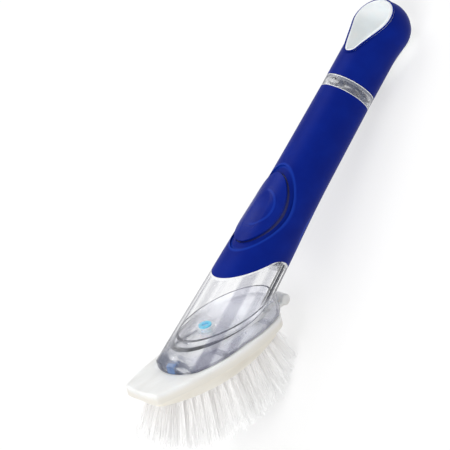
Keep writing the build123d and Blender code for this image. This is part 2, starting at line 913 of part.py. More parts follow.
# Gasket between the neck and the roof of the cap's socket
with BuildPart() as cap_seal:
    with BuildSketch(across(neck_top + cap_seal_gap)):
        Circle(cap_seal_outer_radius)
        Circle(cap_seal_inner_radius, mode=Mode.SUBTRACT)
    extrude(amount=cap_seal_thickness)
save(cap_seal, "cap_seal")

strand_count = sum(len(row_strands(share)) for share in row_shares)
print(f"strands {strand_count}, lean {degrees(lean):.2f} degrees")
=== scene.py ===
import json

import bpy
import numpy as np
from mathutils import Matrix, Vector


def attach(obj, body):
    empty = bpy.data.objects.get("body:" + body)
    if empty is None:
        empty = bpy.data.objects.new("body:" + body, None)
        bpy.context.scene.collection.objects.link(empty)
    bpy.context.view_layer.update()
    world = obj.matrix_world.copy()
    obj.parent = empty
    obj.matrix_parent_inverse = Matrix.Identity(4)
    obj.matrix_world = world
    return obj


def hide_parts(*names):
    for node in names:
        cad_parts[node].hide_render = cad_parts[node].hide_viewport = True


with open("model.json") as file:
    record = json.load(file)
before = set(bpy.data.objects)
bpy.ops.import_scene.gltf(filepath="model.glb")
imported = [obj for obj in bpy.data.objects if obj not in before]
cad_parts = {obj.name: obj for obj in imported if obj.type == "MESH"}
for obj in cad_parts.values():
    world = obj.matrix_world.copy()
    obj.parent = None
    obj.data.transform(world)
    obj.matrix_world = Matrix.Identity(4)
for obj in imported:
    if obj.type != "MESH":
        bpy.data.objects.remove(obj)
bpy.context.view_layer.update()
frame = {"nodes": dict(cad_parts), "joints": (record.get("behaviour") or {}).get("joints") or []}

# The wand lies on a pale counter, on its rear bristle tips and the bulb of its cap, and its
# handle runs straight along the axis of the screw cap.
joints = {joint["name"]: joint for joint in frame["joints"]}
GRIP_TOP = np.array(joints["cap_turn"]["pos_m"])
ALONG = np.array(joints["cap_turn"]["axis"])
ACROSS = np.array([0.0, 1.0, 0.0])
UP = np.cross(ALONG, ACROSS)

# Camera at the picture's angle: above and beside the wand, rolled so that the handle
# runs up to the right. A long lens keeps the proportions that the picture shows.
METRES_PER_PIXEL = 0.000573
PICTURE_SIDE = 450
GRIP_TOP_PIXEL = (344.0, 98.6)
CAMERA_DISTANCE = 1.6
SENSOR_WIDTH = 36.0
CLIP_START = 0.05
CLIP_END = 20.0
HANDLE_AXES = np.array([ALONG, UP, ACROSS])
RIGHT_ON_HANDLE_AXES = np.array([0.474, -0.583, -0.660])
UP_ON_HANDLE_AXES = np.array([0.856, 0.482, 0.189])


def stand(name, data, place, turn):
    """An object with this data at a place in the scene, turned by a matrix of three rows."""
    thing = bpy.data.objects.new(name, data)
    thing.matrix_world = Matrix.Translation(Vector(place)) @ turn.to_4x4()
    bpy.context.scene.collection.objects.link(thing)
    return thing


view_right = RIGHT_ON_HANDLE_AXES @ HANDLE_AXES
view_up = UP_ON_HANDLE_AXES @ HANDLE_AXES
view_right /= np.linalg.norm(view_right)
view_up -= view_right * (view_up @ view_right)
view_up /= np.linalg.norm(view_up)
towards_camera = np.cross(view_right, view_up)
picture_middle = GRIP_TOP + METRES_PER_PIXEL * (
    (PICTURE_SIDE / 2 - GRIP_TOP_PIXEL[0]) * view_right
    + (GRIP_TOP_PIXEL[1] - PICTURE_SIDE / 2) * view_up
)
camera_data = bpy.data.cameras.new("picture_camera")
camera_data.sensor_width = SENSOR_WIDTH
camera_data.lens = SENSOR_WIDTH * CAMERA_DISTANCE / (PICTURE_SIDE * METRES_PER_PIXEL)
camera_data.clip_start = CLIP_START
camera_data.clip_end = CLIP_END
bpy.context.scene.camera = stand(
    "picture_camera",
    camera_data,
    picture_middle + CAMERA_DISTANCE * towards_camera,
    Matrix(np.column_stack([view_right, view_up, towards_camera]).tolist()),
)
bpy.context.scene.view_settings.view_transform = "Standard"

# Counter: a wide board in matt off-white paint. It looks white to the eye, in gloss and
# through clear plastic, and it keeps the wand's soft shadow.
COUNTER_SIZE = 30.0
COUNTER_PAINT = (0.96, 0.96, 0.96, 1.0)
COUNTER_GLOW = 0.6


class Value:
    """An output socket; arithmetic on it adds the Math nodes that work it out."""

    def __init__(self, finish, socket):
        self.finish = finish
        self.socket = socket

    def maths(self, operation, *others):
        """A Math node of this operation on this value and the others."""
        return self.finish.node(
            "ShaderNodeMath", {"operation": operation}, dict(enumerate((self, *others)))
        )

    def __add__(self, other):
        return self.maths("ADD", other)

    def __radd__(self, other):
        return self.maths("ADD", other)

    def __sub__(self, other):
        return self.maths("SUBTRACT", other)

    def __rsub__(self, other):
        return self.finish.node(
            "ShaderNodeMath", {"operation": "SUBTRACT"}, {0: other, 1: self}
        )

    def __mul__(self, other):
        return self.maths("MULTIPLY", other)

    def __rmul__(self, other):
        return self.maths("MULTIPLY", other)

    def __truediv__(self, other):
        return self.maths("DIVIDE", other)

    def __pow__(self, other):
        return self.maths("POWER", other)

    def between(self, low, high):
        """0 below low, 1 above high, and a smooth step from one to the other."""
        return self.finish.node(
            "ShaderNodeMapRange",
            {"interpolation_type": "SMOOTHSTEP"},
            {"Value": self, "From Min": low, "From Max": high},
        )

    def near(self, middle, core, reach):
        """1 within core of the middle, 0 beyond reach of it, and a smooth step between."""
        return 1.0 - (self - middle).maths("ABSOLUTE").between(core, reach)


class Finish:
    """A material: one plastic shader, and one method that adds any node behind it."""

    def __init__(self, name, **constants):
        self.material = bpy.data.materials.new(name)
        self.material.use_nodes = True
        self.tree = self.material.node_tree
        self.tree.nodes.clear()
        self.shader = self.tree.nodes.new("ShaderNodeBsdfPrincipled")
        self.output = self.tree.nodes.new("ShaderNodeOutputMaterial")
        self.tree.links.new(self.shader.outputs[0], self.output.inputs["Surface"])
        for socket, value in constants.items():
            self.shader.inputs[socket.replace("_", " ")].default_value = value

    def node(self, kind, settings=None, sockets=None, output=0):
        """A new node: its settings first, then the values or links of its sockets."""
        node = self.tree.nodes.new(kind)
        for name, value in (settings or {}).items():
            setattr(node, name, value)
        for name, value in (sockets or {}).items():
            if isinstance(value, Value):
                self.tree.links.new(value.socket, node.inputs[name])
            else:
                node.inputs[name].default_value = value
        return Value(self, node.outputs[output])

    def place(self, origin, turned):
        """Object coordinates counted from origin in a turned frame, in metres."""
        coordinates = self.node("ShaderNodeTexCoord", output="Object")
        return self.node(
            "ShaderNodeMapping",
            {"vector_type": "TEXTURE"},
            {"Vector": coordinates, "Location": origin, "Rotation": turned},
        )

    def parts(self, vector):
        """The three numbers of a vector."""
        node = self.tree.nodes.new("ShaderNodeSeparateXYZ")
        self.tree.links.new(vector.socket, node.inputs[0])
        return [Value(self, node.outputs[number]) for number in range(3)]

    def stretched(self, vector, scale):
        """The vector with its numbers multiplied one by one."""
        return self.node(
            "ShaderNodeVectorMath", {"operation": "MULTIPLY"}, {0: vector, 1: scale}
        )

    def noise(self, vector, scale, detail=2.0, swirl=0.0):
        """Smooth noise from 0 to 1 with this many waves a metre, swirled like marble."""
        return self.node(
            "ShaderNodeTexNoise",
            None,
            {"Vector": vector, "Scale": scale, "Detail": detail, "Distortion": swirl},
        )

    def mix(self, share, first, second):
        """A colour between two colours."""
        return self.node(
            "ShaderNodeMix",
            {"data_type": "RGBA"},
            {0: share, 6: first, 7: second},
            output=2,
        )

    def feed(self, socket, value):
        """Link a value to a socket of the plastic shader."""
        self.tree.links.new(value.socket, self.shader.inputs[socket])

    def bump(self, height, distance, strength=1.0):
        """Raise the surface by height times distance, in metres."""
        sockets = {"Height": height, "Distance": distance, "Strength": strength}
        self.feed("Normal", self.node("ShaderNodeBump", None, sockets))

    def dress(self, *pieces):
        """Give this finish to pieces, in place of what they wear."""
        for piece in pieces:
            piece.data.materials.clear()
            piece.data.materials.append(self.material)


def seen_rays(tree):
    """1 for the rays of the camera and for those that gloss and clear plastic send on."""
    rays = tree.nodes.new("ShaderNodeLightPath")
    socket = rays.outputs["Is Camera Ray"]
    for kind in ("Is Glossy Ray", "Is Transmission Ray"):
        either = tree.nodes.new("ShaderNodeMath")
        either.operation = "MAXIMUM"
        tree.links.new(socket, either.inputs[0])
        tree.links.new(rays.outputs[kind], either.inputs[1])
        socket = either.outputs[0]
    return socket


counter_finish = Finish(
    "counter_paint", Base_Color=COUNTER_PAINT, Roughness=0.9, Specular_IOR_Level=0.0
)
counter_seen = Value(counter_finish, seen_rays(counter_finish.tree)) * COUNTER_GLOW
counter_painted = Value(counter_finish, counter_finish.shader.outputs[0])
counter_glowing = counter_finish.node("ShaderNodeEmission")
counter_mixed = counter_finish.node(
    "ShaderNodeMixShader", None, {0: counter_seen, 1: counter_painted, 2: counter_glowing}
)
counter_finish.tree.links.new(counter_mixed.socket, counter_finish.output.inputs["Surface"])
counter_corners = np.array([[-1, -1, 0], [1, -1, 0], [1, 1, 0], [-1, 1, 0]]) * COUNTER_SIZE / 2
counter_mesh = bpy.data.meshes.new("counter")
counter_mesh.from_pydata(counter_corners.tolist(), [], [[0, 1, 2, 3]])
counter = bpy.data.objects.new("counter", counter_mesh)
bpy.context.scene.collection.objects.link(counter)
counter_finish.dress(counter)

# Studio: a world that is white to the eye and in reflections, but lights the wand at a
# plain level, and three soft boxes that face the middle of the picture.
WHITE_LIGHT = (1.0, 1.0, 1.0, 1.0)
WORLD_LIGHT = 0.42
WORLD_SEEN = 1.0
SOFT_BOXES = (
    ("key_box", (-0.8, -0.4, 1.35), 1.1, 16.0),
    ("side_box", (0.9, -1.0, 0.8), 0.8, 1.2),
    ("rear_box", (0.75, 0.7, 1.15), 0.9, 8.5),
)

world = bpy.data.worlds.new("studio_white")
world.use_nodes = True
bpy.context.scene.world = world
world_tree = world.node_tree
world_tree.nodes.clear()
world_mixed = world_tree.nodes.new("ShaderNodeMixShader")
world_tree.links.new(seen_rays(world_tree), world_mixed.inputs[0])
for socket, strength in ((1, WORLD_LIGHT), (2, WORLD_SEEN)):
    background = world_tree.nodes.new("ShaderNodeBackground")
    background.inputs["Color"].default_value = WHITE_LIGHT
    background.inputs["Strength"].default_value = strength
    world_tree.links.new(background.outputs[0], world_mixed.inputs[socket])
world_output = world_tree.nodes.new("ShaderNodeOutputWorld")
world_tree.links.new(world_mixed.outputs[0], world_output.inputs["Surface"])

for name, place, side, power in SOFT_BOXES:
    soft_box = bpy.data.lights.new(name, "AREA")
    soft_box.shape = "SQUARE"
    soft_box.size = side
    soft_box.energy = power
    back = (Vector(place) - Vector(picture_middle)).normalized()
    stand(name, soft_box, place, back.to_track_quat("Z", "Y").to_matrix())

# Soft blue grip and the skin of the cap: a matt elastomer moulded over a rigid core. It has a fine
# spark-eroded grain, and a paler painted highlight runs round the rim of the oval recess.
BUTTON_STATION = 0.0823
RECESS_HALF_LENGTH = 0.0285
RECESS_HALF_WIDTH = 0.0152
RECESS_HIGHLIGHT = 0.8
SKIN_GRAIN_WAVES = 4200.0
SKIN_GRAIN_DEPTH = 0.00002
SKIN_CLOUD_WAVES = 60.0
SKIN_CLOUD_SHARE = 0.35


def frame_along(origin, direction):
    """A frame to count places in: its origin, and the turn that takes x to the direction."""
    turn = float(np.arctan2(-direction[2], direction[0]))
    return tuple(origin), (0.0, turn, 0.0)


def linear(red, green, blue):
    """A colour written as 0 to 255 on a screen, in the linear light of the renderer."""
    screen = np.array([red, green, blue]) / 255
    light = np.where(screen <= 0.04045, screen / 12.92, ((screen + 0.055) / 1.055) ** 2.4)
    return (*light.tolist(), 1.0)


HANDLE_FRAME = frame_along(GRIP_TOP, ALONG)
BLUE = linear(5, 28, 120)
BLUE_WORN = linear(10, 42, 146)
BLUE_HIGHLIGHT = linear(22, 56, 160)


def oval_reach(along, across, half_length, half_width):
    """0 in the middle of an oval round the button, 1 on its edge, and growing outwards."""
    return ((along + BUTTON_STATION) / half_length) ** 2.0 + (across / half_width) ** 2.0


def soft_blue(name, rim=False):
    """The matt blue elastomer, with a painted highlight round the rim of the recess where it is
    asked for.
    """
    finish = Finish(name, IOR=1.45, Specular_IOR_Level=0.06)
    place = finish.place(*HANDLE_FRAME)
    cloud = finish.noise(place, SKIN_CLOUD_WAVES, 3.0)
    blue = finish.mix(cloud.between(0.35, 0.75) * SKIN_CLOUD_SHARE, BLUE, BLUE_WORN)
    if rim:
        along, across, _ = finish.parts(place)
        oval = oval_reach(along, across, RECESS_HALF_LENGTH, RECESS_HALF_WIDTH)
        # Painted highlight: a paler blue line round the rim of the recess.
        blue = finish.mix(oval.near(1.0, 0.03, 0.14) * RECESS_HIGHLIGHT, blue, BLUE_HIGHLIGHT)
    finish.feed("Base Color", blue)
    finish.feed("Roughness", 0.4 + cloud * 0.12)
    finish.bump(finish.noise(place, SKIN_GRAIN_WAVES, 3.0), SKIN_GRAIN_DEPTH, 0.6)
    return finish


soft_blue("soft_blue_grip_skin", rim=True).dress(frame["nodes"]["grip_sleeve"])
soft_blue("soft_blue_cap_skin").dress(frame["nodes"]["cap_cover"])

# Thumb button: hard blue plastic with a satin polish, a shade brighter than the grip.
# Its thumb dish is buffed smoother by use, and a painted highlight lies on the dish's near rim.
BUTTON_BLUE = linear(6, 30, 122)
BUTTON_BLUE_WORN = linear(12, 44, 148)
DISH_HALF_LENGTH = 0.0143
DISH_HALF_WIDTH = 0.0114
DISH_RIM_REACH = 0.62
DISH_HIGHLIGHT_SHARE = 0.6
DISH_MIDDLE_BLEND = 0.002
BUTTON_CLOUD_WAVES = 90.0
BUTTON_GRAIN_WAVES = 3600.0
BUTTON_GRAIN_DEPTH = 0.00001

button_finish = Finish("satin_blue_button", IOR=1.48, Specular_IOR_Level=0.07)
button_place = button_finish.place(*HANDLE_FRAME)
button_along, button_across, _ = button_finish.parts(button_place)
button_oval = oval_reach(button_along, button_across, DISH_HALF_LENGTH, DISH_HALF_WIDTH)
button_cloud = button_finish.noise(button_place, BUTTON_CLOUD_WAVES, 3.0)
button_blue = button_finish.mix(
    button_cloud.between(0.3, 0.8) * 0.4, BUTTON_BLUE, BUTTON_BLUE_WORN
)
# Painted highlight: a paler crescent on the near half of the dish's rim.
highlight_side = 1.0 - button_across.between(-DISH_MIDDLE_BLEND, DISH_MIDDLE_BLEND)
dish_rim_highlight = button_oval.near(DISH_RIM_REACH, 0.03, 0.12) * highlight_side
button_blue = button_finish.mix(dish_rim_highlight * DISH_HIGHLIGHT_SHARE, button_blue, BLUE_HIGHLIGHT)
button_finish.feed("Base Color", button_blue)
button_finish.feed("Roughness", 0.24 + button_oval.between(0.6, 1.2) * 0.12)
button_grain = button_finish.noise(button_place, BUTTON_GRAIN_WAVES, 2.0)
button_finish.bump(button_grain, BUTTON_GRAIN_DEPTH, 0.4)
button_finish.dress(frame["nodes"]["thumb_button"])

# Mouldings in polypropylene, a little waxy, with faint flow marks: the white upper shell of
# the head and its latch, the white core of the cap with the lining of its hole, the blue
# core and pusher inside the grip, and the cream lower shell that holds the tufts. The deck
# of the head crosses the handle's axis at a fixed station, and runs the way that it slides.
DECK_STATION = 0.1639
DECK = GRIP_TOP - DECK_STATION * ALONG
REARWARD = -np.array(joints["head_slide"]["axis"])
HEAD_FRAME = frame_along(DECK, REARWARD)
WHITE = linear(244, 245, 244)
WHITE_SHADE = linear(231, 231, 229)
CREAM_SIDE_SHADE = linear(226, 221, 210)
LINING_WHITE = linear(250, 253, 253)
LINING_SHADE = linear(238, 243, 244)
CORE_BLUE = linear(12, 20, 92)
CORE_BLUE_SHADE = linear(18, 28, 112)
CREAM = linear(240, 236, 226)
CREAM_SHADE = linear(226, 220, 208)
SIDE_LOW = -0.0045
SIDE_HIGH = -0.0004
SIDE_SHADE_SHARE = 0.8
FLOW_WAVES = 45.0
FLOW_STRETCH = (1.0, 3.0, 3.0)
MOULD_GRAIN_WAVES = 3000.0
MOULD_GRAIN_DEPTH = 0.00001
FOOT_BORE = 0.01658
FOOT_BORE_AT = 0.1
FOOT_BORE_SLOPE = 0.04087
BORE_BLEND = 0.001
TOE_EDGE = -0.0325
TOE_BLEND = 0.002
UNDER_FOOT_PAINTED_GLOW = 0.15
UNDER_FOOT_PAINTED_LIGHT = linear(238, 240, 255)
LINING_PAINTED_GLOW = 0.05
DARK = linear(0, 0, 0)


def white_moulding(name, bright, shade, roughness, side=None, **constants):
    """Waxy plastic with faint flow marks and a fine grain, and a painted shade below the deck's
    top where one is given.
    """
    waxy = {
        "IOR": 1.49,
        "Subsurface_Weight": 0.15,
        "Subsurface_Radius": (1.0, 0.9, 0.8),
        "Subsurface_Scale": 0.003,
    }
    finish = Finish(name, **{**waxy, **constants})
    place = finish.place(*HEAD_FRAME)
    flow = finish.noise(finish.stretched(place, FLOW_STRETCH), FLOW_WAVES, 4.0)
    colour = finish.mix(flow.between(0.3, 0.8), bright, shade)
    # Painted shade: below the deck's top the sides take a darker cream.
    if side:
        height = finish.parts(place)[2]
        below = 1.0 - height.between(SIDE_LOW, SIDE_HIGH)
        colour = finish.mix(below * SIDE_SHADE_SHARE, colour, side)
    finish.feed("Base Color", colour)
    finish.feed("Roughness", roughness + flow * 0.1)
    finish.bump(finish.noise(place, MOULD_GRAIN_WAVES, 2.0), MOULD_GRAIN_DEPTH, 0.35)
    return finish


def off_bore(finish):
    """How far a place is from the tapered bore of the foot, less than 0 inside it."""
    along, across, up = finish.parts(finish.place(*HANDLE_FRAME))
    bore = FOOT_BORE + (along * -1.0 - FOOT_BORE_AT) * FOOT_BORE_SLOPE
    return (across * across + up * up) ** 0.5 - bore


# Painted light: inside the foot's footprint the deck glows a pale blue-white, which lightens the
# shade seen through the clear foot.
deck_finish = white_moulding(
    "white_polypropylene", WHITE, WHITE_SHADE, 0.3, CREAM_SIDE_SHADE, Emission_Strength=UNDER_FOOT_PAINTED_GLOW
)
deck_along = deck_finish.parts(deck_finish.place(*HEAD_FRAME))[0]
under_foot_painted_light = 1.0 - off_bore(deck_finish).between(-BORE_BLEND, BORE_BLEND)
under_foot_painted_light = under_foot_painted_light * deck_along.between(TOE_EDGE, TOE_EDGE + TOE_BLEND)
deck_finish.feed("Emission Color", deck_finish.mix(under_foot_painted_light, DARK, UNDER_FOOT_PAINTED_LIGHT))
deck_finish.dress(frame["nodes"]["head_deck"], frame["nodes"]["latch_tongue"])

# Painted light: the lining of the hanging hole glows faintly white, which lightens the shade
# inside the hole.
white_moulding(
    "cool_white_lining",
    LINING_WHITE,
    LINING_SHADE,
    0.25,
    Subsurface_Weight=0.5,
    Emission_Strength=LINING_PAINTED_GLOW,
).dress(frame["nodes"]["cap_core"])
white_moulding("hidden_blue_core", CORE_BLUE, CORE_BLUE_SHADE, 0.5).dress(
    frame["nodes"]["grip_core"], frame["nodes"]["button_plunger"]
)
white_moulding("cream_polypropylene", CREAM, CREAM_SHADE, 0.4).dress(
    frame["nodes"]["bristle_block"]
)

# Lip of the cap's blue skin: a thin round bead of the same elastomer, rolled over the
# white lining round the top of the hanging hole.
HOLE_LOW = (0.0276, 0.0036)
HOLE_HIGH = (0.0483, 0.012)
LIP_OUTSET = 0.0014
LIP_RADIUS = 0.0005
LIP_RAISE = 0.0003
LIP_SIDES = 12
HIGH_ARC_POINTS = 72
LOW_ARC_POINTS = 28
TANGENT_POINTS = 20
CAP_BULB_STATION = 0.047
CAP_BULB_RADIUS = 0.01715
CAP_NECK_RADIUS = 0.01555
CAP_BLEND_RADIUS = 0.05965


def cap_radius(station):
    """The cap's outline: a straight neck, a hollow arc, and the arc of the bulb.

    The hollow arc touches the neck, and the bulb where their centres' line crosses both."""
    step = CAP_BULB_RADIUS - CAP_NECK_RADIUS
    run = np.sqrt(step * (2 * CAP_BLEND_RADIUS + CAP_BULB_RADIUS + CAP_NECK_RADIUS))
    touch = run * CAP_BULB_RADIUS / (CAP_BLEND_RADIUS + CAP_BULB_RADIUS)
    past = np.clip(station - CAP_BULB_STATION + run, 0, CAP_BLEND_RADIUS)
    hollow = CAP_NECK_RADIUS + CAP_BLEND_RADIUS - np.sqrt(CAP_BLEND_RADIUS**2 - past**2)
    bulb = np.sqrt(np.maximum(CAP_BULB_RADIUS**2 - (station - CAP_BULB_STATION) ** 2, 0))
    return np.where(station > CAP_BULB_STATION - touch, bulb, hollow)


def arc(circle, turns):
    """Points of a circle in plan: its station plus its radius, drawn out by the outset,
    times the cosine and the sine of each turn."""
    station, radius = circle
    around = np.column_stack([np.cos(turns), np.sin(turns)])
    return np.array([station, 0]) + (radius + LIP_OUTSET) * around


def lip_mesh():
    """A closed round bead: the outline of the teardrop, two arcs and their common tangents,
    lifted on to the cap's surface, with a small circle carried along it."""
    away = np.arccos((HOLE_LOW[1] - HOLE_HIGH[1]) / (HOLE_HIGH[0] - HOLE_LOW[0]))
    high_line = arc(HOLE_HIGH, np.linspace(-away, away, HIGH_ARC_POINTS))
    low_line = arc(HOLE_LOW, np.linspace(away, 2 * np.pi - away, LOW_ARC_POINTS))
    run = np.linspace(0, 1, TANGENT_POINTS)[1:-1, None]
    outline = np.vstack(
        [
            high_line,
            high_line[-1] + run * (low_line[0] - high_line[-1]),
            low_line,
            low_line[-1] + run * (high_line[0] - low_line[-1]),
        ]
    )
    station, across = outline.T
    rise = np.sqrt(cap_radius(station) ** 2 - across**2)
    outward = across[:, None] * ACROSS + rise[:, None] * UP
    line = GRIP_TOP + station[:, None] * ALONG + outward
    forward = np.roll(line, -1, axis=0) - np.roll(line, 1, axis=0)
    forward /= np.linalg.norm(forward, axis=1, keepdims=True)
    side = np.cross(forward, outward)
    side /= np.linalg.norm(side, axis=1, keepdims=True)
    outward = np.cross(side, forward)
    turn = np.linspace(0, 2 * np.pi, LIP_SIDES, endpoint=False)[:, None]
    ring = np.cos(turn) * outward[:, None, :] + np.sin(turn) * side[:, None, :]
    points = (line + LIP_RAISE * outward)[:, None, :] + LIP_RADIUS * ring
    here, around = np.meshgrid(np.arange(len(line)), np.arange(LIP_SIDES), indexing="ij")
    here = here * LIP_SIDES
    ahead = np.roll(here, -1, axis=0)
    beside = np.roll(around, -1, axis=1)
    quads = np.stack([here + around, here + beside, ahead + beside, ahead + around], axis=-1)
    return points.reshape(-1, 3), quads.reshape(-1, 4)


def surface(name, points, quads, body, attributes=None, smooth=True):
    """A mesh from arrays of points and of corner numbers, riding on a body."""
    mesh = bpy.data.meshes.new(name)
    mesh.from_pydata(points.tolist(), [], quads.tolist())
    for attribute, values in (attributes or {}).items():
        layer = mesh.attributes.new(attribute, "FLOAT", "POINT")
        layer.data.foreach_set("value", values.astype(np.float32))
    mesh.polygons.foreach_set("use_smooth", np.full(len(quads), smooth))
    mesh.update()
    piece = bpy.data.objects.new(name, mesh)
    bpy.context.scene.collection.objects.link(piece)
    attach(piece, body)
    return piece


cap_lip = surface("cap_lip", *lip_mesh(), "cap")
soft_blue("soft_blue_lip_skin").dress(cap_lip)

# Clear reservoir tube: a hard clear styrene with a lilac cast, with a painted shade where the wall
# is seen edge on. Its grey streaks, and the dark and pale marbling on the band between cap and
# grip, are painted reflections, and its edges have painted highlights.
CLEAR = linear(238, 239, 244)
CLEAR_REFLECTION_GREY = linear(146, 147, 166)
CLEAR_LILAC = linear(220, 222, 238)
CLEAR_EDGE_SHADE = linear(54, 57, 72)
CLEAR_LINE = linear(34, 37, 50)
CLEAR_PAINTED_SHADE = linear(98, 104, 124)
CLEAR_SPOT_REFLECTION = linear(104, 130, 172)
CLEAR_RIM = linear(250, 251, 253)
CLEAR_HAZE = 0.05
CLEAR_ROUGHNESS = 0.06
EDGE_FROM = 0.6
EDGE_TO = 0.98
WAVE_DEPTH = 0.0002
TUBE_EDGE_HAZE = 0.85
TUBE_WAVES = 90.0
TUBE_WAVE_STRETCH = (0.25, 1.0, 1.0)
TUBE_MOTTLES = 150.0
TUBE_MOTTLE_STRETCH = (2.4, 1.0, 1.0)


def see_through(finish, edge_haze, layers):
    """Feed a clear plastic: hazy by its layers, and with a painted shade where its wall is seen
    edge on.

    A layer is a mask, the colour that it lays over those before it, if any, and how much
    it hides of what lies behind. Returns the colour of all the layers, without that edge."""
    body = CLEAR
    cover = CLEAR_HAZE
    for mask, colour, hidden in layers:
        if colour:
            body = finish.mix(mask, body, colour)
        cover = cover + mask * hidden
    # Painted shade: the wall is darker where it is seen edge on.
    facing = finish.node("ShaderNodeLayerWeight", None, {"Blend": 0.5}, output="Facing")
    edge = facing.between(EDGE_FROM, EDGE_TO)
    finish.feed("Base Color", finish.mix(edge, body, CLEAR_EDGE_SHADE))
    finish.feed("Alpha", cover + edge * (edge_haze - CLEAR_HAZE))
    return body


tube_finish = Finish("clear_styrene_tube", IOR=1.45, Transmission_Weight=0.2)
tube_place = tube_finish.place(*HANDLE_FRAME)
tube_along, tube_across, tube_up = tube_finish.parts(tube_place)
head_along, head_across, head_up = tube_finish.parts(tube_finish.place(*HEAD_FRAME))
tube_drawn = tube_finish.stretched(tube_place, TUBE_WAVE_STRETCH)
tube_waves = tube_finish.noise(tube_drawn, TUBE_WAVES, 3.0)
tube_wound = tube_finish.stretched(tube_place, TUBE_MOTTLE_STRETCH)
tube_mottle = tube_finish.noise(tube_wound, TUBE_MOTTLES, 3.0)

# Painted reflections on the tube: grey streaks, which lie the same on both sides, over a wavy grey
# tone. Each streak has its turn from the top round the axis, its half width there, and its depth
# of tone.
REFLECTION_STREAKS = ((0.92, 0.21, 1.0), (0.3, 0.08, 0.4), (1.5, 0.16, 0.8))
REFLECTION_WAVER = 0.12
WAVE_TONE = 0.25

tube_turn = tube_across.maths("ABSOLUTE").maths("ARCTAN2", tube_up)
tube_turn = tube_turn + (tube_waves - 0.5) * REFLECTION_WAVER
tube_reflections = tube_waves.between(0.45, 0.8) * WAVE_TONE
for turn, half_width, depth in REFLECTION_STREAKS:
    reflection_streak = tube_turn.near(turn, half_width * 0.6, half_width * 1.15) * depth
    tube_reflections = tube_reflections.maths("MAXIMUM", reflection_streak)

# Band of the tube between the grip and the cap: painted reflections as dark and pale marbling over
# a grey tone, with a painted line of shadow under the cap.
BAND_LENGTH = 0.0074
BAND_SHADOW_FROM = BAND_LENGTH - 0.0024
BAND_SHADOW_TO = BAND_LENGTH - 0.0014
BAND_BLEND = 0.0006
BAND_REFLECTION_TONE = 0.35
BAND_REFLECTION_WAVES = 80.0
BAND_REFLECTION_STRETCH = (2.4, 0.8, 0.8)
BAND_SWIRL = 1.4

band_place = tube_finish.stretched(tube_place, BAND_REFLECTION_STRETCH)
band_swirl = tube_finish.noise(band_place, BAND_REFLECTION_WAVES, 2.0, BAND_SWIRL)
tube_band = tube_along.between(-BAND_BLEND, 0.0)
band_painted_shadow = tube_along.between(BAND_SHADOW_FROM, BAND_SHADOW_TO)
tube_reflections = tube_reflections.maths("MAXIMUM", tube_band * BAND_REFLECTION_TONE)
band_dark_reflection_and_shadow = tube_band * band_swirl.between(0.49, 0.54).maths("MAXIMUM", band_painted_shadow * 0.9)
band_pale_reflection = tube_band * (1.0 - band_swirl.between(0.4, 0.44)) * 0.9

# Far wall of the tube, where it is seen edge on, painted as two dark lines of shade above the
# floor plate, each with its turn from the top and its half width. The foot has one more dark line
# where it meets the deck.
FOOT_LINE = 0.0006
FOOT_LINE_TONE = 0.6
EDGE_SHADE_LINES = ((-1.84, 0.06), (-2.3, 0.25))
EDGE_WAVER = 0.02
LINES_FROM = 0.0105
LINES_TO = 0.018
LINES_END = -0.104
LINES_FADE = -0.1

tube_line = (1.0 - head_up.between(FOOT_LINE * 0.7, FOOT_LINE * 1.3)) * FOOT_LINE_TONE
tube_side = tube_across.maths("ARCTAN2", tube_up) + (tube_waves - 0.5) * EDGE_WAVER
in_foot = 1.0 - tube_along.between(LINES_END, LINES_FADE)
for turn, half_width in EDGE_SHADE_LINES:
    edge_shade_line = tube_side.near(turn, half_width * 0.7, half_width * 1.2)
    edge_shade_line = edge_shade_line * head_up.between(LINES_FROM, LINES_TO) * in_foot
    tube_line = tube_line.maths("MAXIMUM", edge_shade_line)

# Foot of the tube: a pale lilac haze low down, where ledges and ribs lie behind the wall, which is
# also painted light that lightens the shade there. The toe has a mottled painted shade, darker on
# the far side, and one painted blue reflection.
HAZE_TOP = 0.0085
HAZE_FULL = 0.0055
HAZE_START = -0.09
HAZE_MOST = -0.1
TOE_START = 0.020
TOE_END = 0.028
TOE_FAR_FROM = -0.0015
TOE_FAR_TO = 0.003
SPOT_MIDDLE = -0.0042
SPOT_HALF_WIDTH = 0.0023
SPOT_HEIGHT = 0.0054

toe_end = (head_along * -1.0).between(TOE_START, TOE_END)
tube_lightening_haze = (1.0 - head_up.between(HAZE_FULL, HAZE_TOP)) * (0.4 + tube_mottle * 0.6)
tube_lightening_haze = tube_lightening_haze * (1.0 - toe_end) * (1.0 - tube_along.between(HAZE_MOST, HAZE_START))
toe_mottle = 0.15 + tube_mottle.between(0.42, 0.54) * 0.85
toe_far_shade = head_across.between(TOE_FAR_FROM, TOE_FAR_TO)
tube_toe_shade = toe_end * toe_mottle.maths("MAXIMUM", toe_far_shade)
tube_spot_reflection = head_across.near(SPOT_MIDDLE, SPOT_HALF_WIDTH, SPOT_HALF_WIDTH * 1.25)
tube_spot_reflection = tube_spot_reflection * toe_end * (1.0 - head_up.between(SPOT_HEIGHT, SPOT_HEIGHT * 1.2))

# Painted highlights on the tube's edges: both rims of the band, and the edge under the grip, which
# rises from a knee by a slope.
RIM_FROM = BAND_LENGTH / 2 - 0.0006
RIM_TO = BAND_LENGTH / 2 - 0.0003
GRIP_KNEE = 0.1026
GRIP_EDGE_SLOPE = 1.397
GRIP_RIM_FROM = 0.0010
GRIP_RIM_TO = 0.0022
GRIP_RIM_END = -0.06
GRIP_RIM_FADE = -0.05

